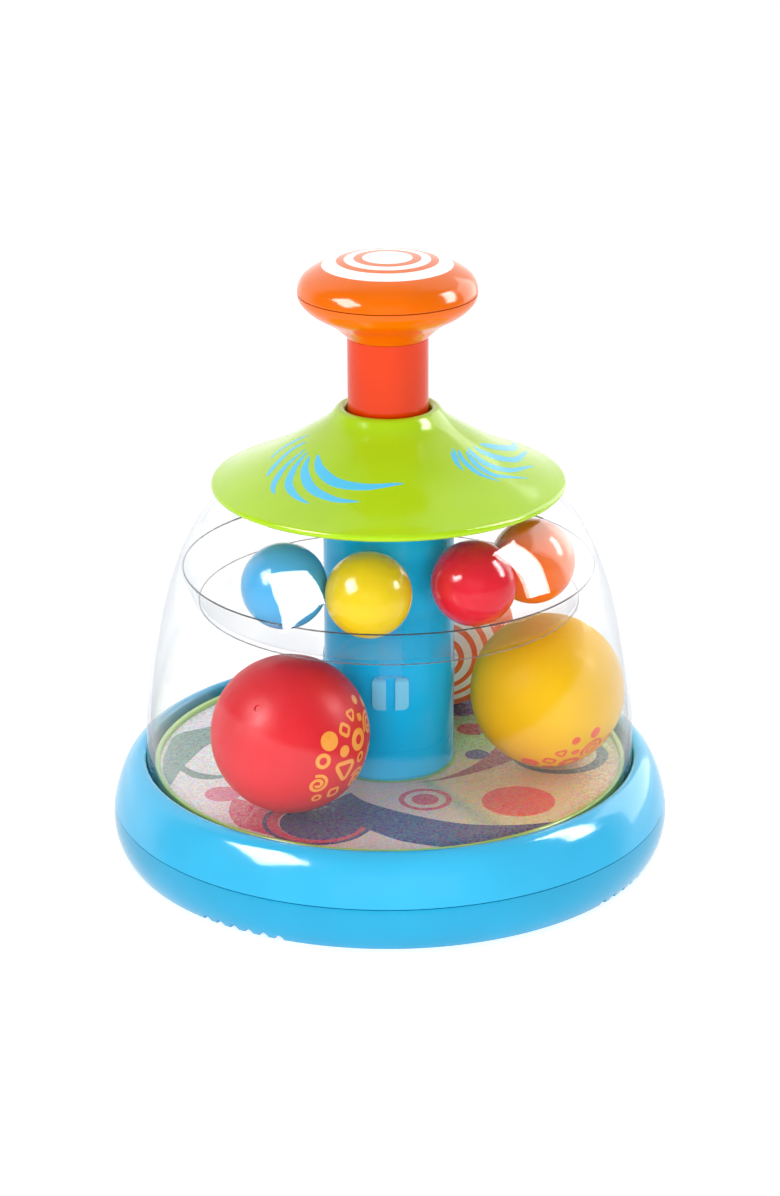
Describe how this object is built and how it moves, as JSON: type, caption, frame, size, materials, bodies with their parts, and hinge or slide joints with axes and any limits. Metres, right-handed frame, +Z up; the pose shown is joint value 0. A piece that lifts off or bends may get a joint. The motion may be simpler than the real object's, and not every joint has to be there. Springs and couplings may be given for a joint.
{
  "type": "push-and-spin toy",
  "caption": "Toddler push-and-spin toy: a knob on a sprung twisted rod turns a turntable that whirls loose balls inside a clear dome.",
  "frame": {"origin": "on the ground at the centre of the base, on the spin axis", "axes": "+Z up along the spin axis and the plunger; -Y faces the viewer in the usual view, +X to the right"},
  "size_m": [0.2176, 0.2176, 0.2336],
  "materials": {
    "base_blue": "polished moulding",
    "column_blue": "polished moulding",
    "cap_green": "polished, with printed pale blue plumes",
    "clear_dome": "clear, polished",
    "clear_tray": "clear, polished",
    "clip_clear_blue": "translucent",
    "knob_orange": "polished, white printed rings on top",
    "stem_orange": "polished",
    "turntable_green": "satin",
    "glitter_foil": "holographic glitter foil with printed shapes",
    "nylon_white": "natural",
    "steel": "bright",
    "rubber_grey": "matt",
    "ball_red": "semi-gloss, printed",
    "ball_yellow": "semi-gloss, printed",
    "ball_orange": "semi-gloss, white printed bands",
    "small_blue": "gloss",
    "small_yellow": "gloss",
    "small_red": "gloss",
    "small_orange": "gloss"
  },
  "bodies": {
    "housing": {"base_pan": "base_blue", "base_ring": "base_blue", "base_screws": "steel", "rubber_feet": "rubber_grey", "pivot_pin": "steel", "thrust_washer": "nylon_white", "dome": "clear_dome", "cap": "cap_green", "guide_bush": "nylon_white", "dome_retainer": "column_blue", "cap_screws": "steel", "return_spring": "steel"},
    "rotor": {"turntable": "turntable_green", "turntable_label": "glitter_foil", "column_foot": "column_blue", "column_screws": "steel", "column": "column_blue", "top_bearing": "nylon_white", "clutch_hub": "nylon_white", "hub_screws": "steel", "ball_tray": "clear_tray", "tray_clips": "clip_clear_blue"},
    "plunger": {"plunger_stem": "stem_orange", "knob_base": "knob_orange", "knob_top": "knob_orange", "twisted_rod": "nylon_white", "rod_screw": "steel"},
    "nut": {"drive_nut": "nylon_white"},
    "ball_large_red_body": {"ball_large_red": "ball_red"},
    "ball_large_yellow_body": {"ball_large_yellow": "ball_yellow"},
    "ball_large_orange_body": {"ball_large_orange": "ball_orange"},
    "ball_small_blue_body": {"ball_small_blue": "small_blue"},
    "ball_small_yellow_body": {"ball_small_yellow": "small_yellow"},
    "ball_small_red_body": {"ball_small_red": "small_red"},
    "ball_small_orange_body": {"ball_small_orange": "small_orange"}
  },
  "joints": [
    {"name": "plunger_slide", "type": "slide", "parent": "housing", "child": "plunger", "axis": [0, 0, -1], "range_m": [0, 0.025], "stiffness_N_per_m": 220, "springref_m": -0.012, "deforming": ["return_spring"]},
    {"name": "nut_spin", "type": "hinge", "parent": "housing", "child": "nut", "pos_m": [0, 0, 0.0865], "axis": [0, 0, 1], "range_deg": [0, 322]},
    {"name": "rotor_spin", "type": "hinge", "parent": "housing", "child": "rotor", "pos_m": [0, 0, 0.03], "axis": [0, 0, 1], "continuous": true},
    {"name": "ball_large_red_orbit", "type": "hinge", "parent": "rotor", "child": "ball_large_red_body", "pos_m": [0, 0, 0.0618], "axis": [0, 0, 1], "range_deg": [-50, 30]},
    {"name": "ball_large_yellow_orbit", "type": "hinge", "parent": "rotor", "child": "ball_large_yellow_body", "pos_m": [0, 0, 0.0618], "axis": [0, 0, 1], "range_deg": [-30, 8]},
    {"name": "ball_large_orange_orbit", "type": "hinge", "parent": "rotor", "child": "ball_large_orange_body", "pos_m": [0, 0, 0.0618], "axis": [0, 0, 1], "range_deg": [-8, 50]},
    {"name": "ball_small_blue_orbit", "type": "hinge", "parent": "rotor", "child": "ball_small_blue_body", "pos_m": [0, 0, 0.1153], "axis": [0, 0, 1], "range_deg": [-95, 0]},
    {"name": "ball_small_yellow_orbit", "type": "hinge", "parent": "rotor", "child": "ball_small_yellow_body", "pos_m": [0, 0, 0.1153], "axis": [0, 0, 1], "range_deg": [0, 6]},
    {"name": "ball_small_red_orbit", "type": "hinge", "parent": "rotor", "child": "ball_small_red_body", "pos_m": [0, 0, 0.1153], "axis": [0, 0, 1], "range_deg": [-5, 0]},
    {"name": "ball_small_orange_orbit", "type": "hinge", "parent": "rotor", "child": "ball_small_orange_body", "pos_m": [0, 0, 0.1153], "axis": [0, 0, 1], "range_deg": [0, 90]}
  ],
  "couplings": [
    {"joint": "nut_spin", "follows": "plunger_slide", "rad_per_m": 224.4}
  ]
}
